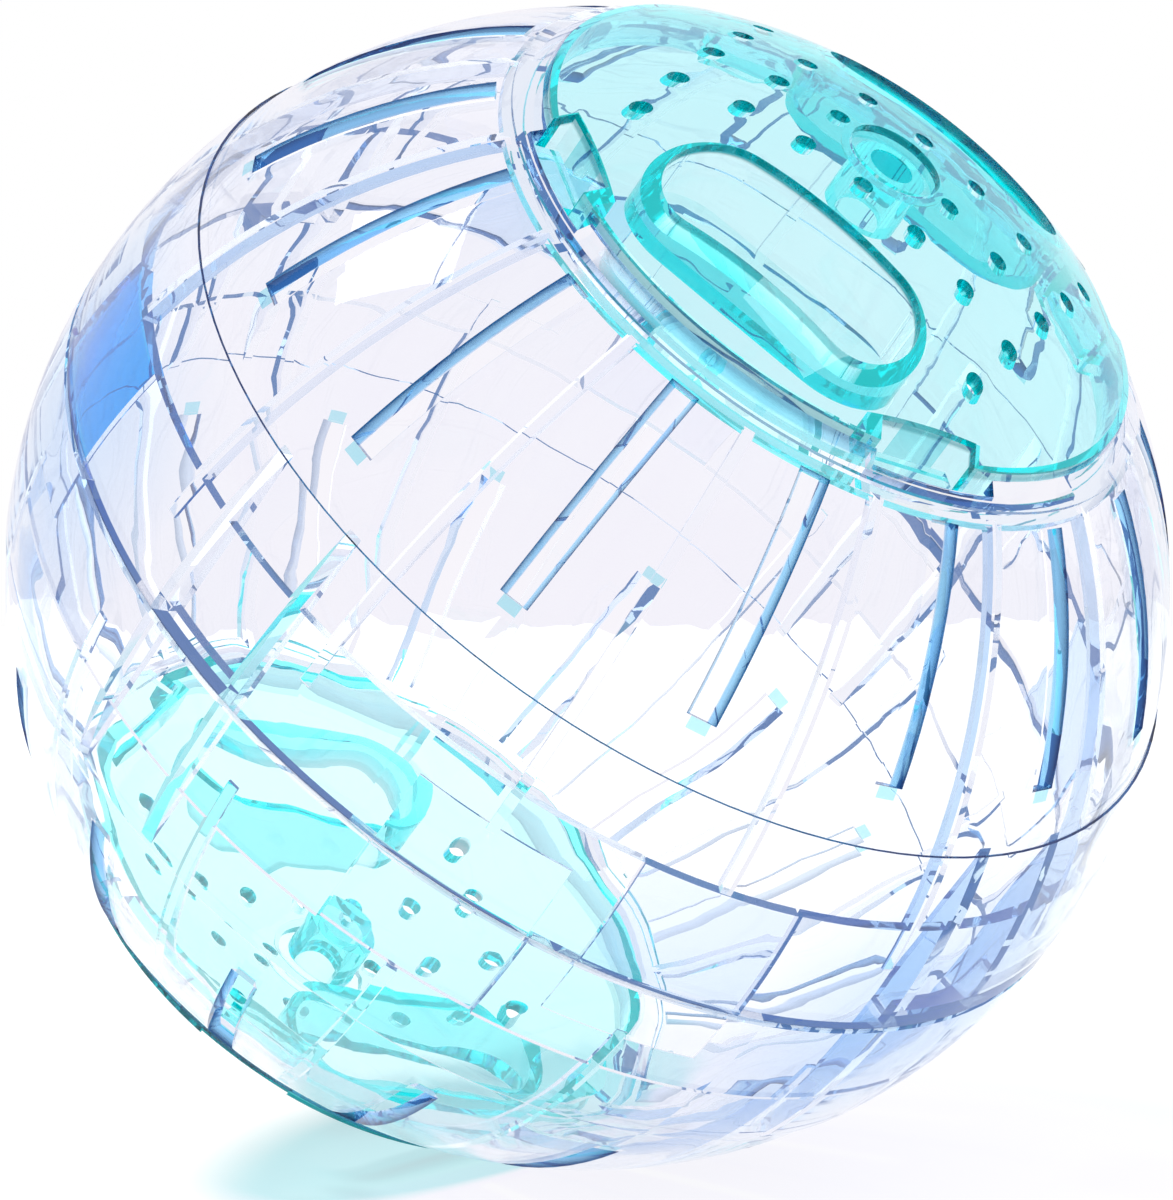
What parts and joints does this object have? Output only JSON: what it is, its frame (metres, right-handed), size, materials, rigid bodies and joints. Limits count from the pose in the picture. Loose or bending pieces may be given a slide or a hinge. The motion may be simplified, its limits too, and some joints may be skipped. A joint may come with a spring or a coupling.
{
  "type": "hamster ball",
  "caption": "Hollow ball of clear plastic that a small pet rolls in, made of two half shells clipped at a seam, with vent slots and a twist-off lid at each end.",
  "frame": {"origin": "centre of the ball, which is the centre of its bounding box", "axes": "+Z runs from the centre through the middle of the upper lid, square to the seam; +X runs through a vent slot of the upper half, on the side that the picture looks at"},
  "size_m": [0.14, 0.14, 0.141],
  "materials": {
    "clear_shell": "polished clear plastic with a faint blue tint",
    "aqua_lid": "polished clear plastic, aqua"
  },
  "bodies": {
    "lower_half": {"shell_bottom": "clear_shell"},
    "upper_half": {"shell_top": "clear_shell"},
    "lower_lid": {"lid_bottom": "aqua_lid"},
    "upper_lid": {"lid_top": "aqua_lid"}
  },
  "joints": [
    {"name": "halves_part", "type": "slide", "parent": "lower_half", "child": "upper_half", "axis": [0, 0, 1], "range_m": [0, 0.04]},
    {"name": "upper_lid_off", "type": "slide", "parent": "upper_half", "child": "upper_lid", "axis": [0, 0, 1], "range_m": [0, 0.03]},
    {"name": "lower_lid_off", "type": "slide", "parent": "lower_half", "child": "lower_lid", "axis": [0, 0, -1], "range_m": [0, 0.03]}
  ]
}
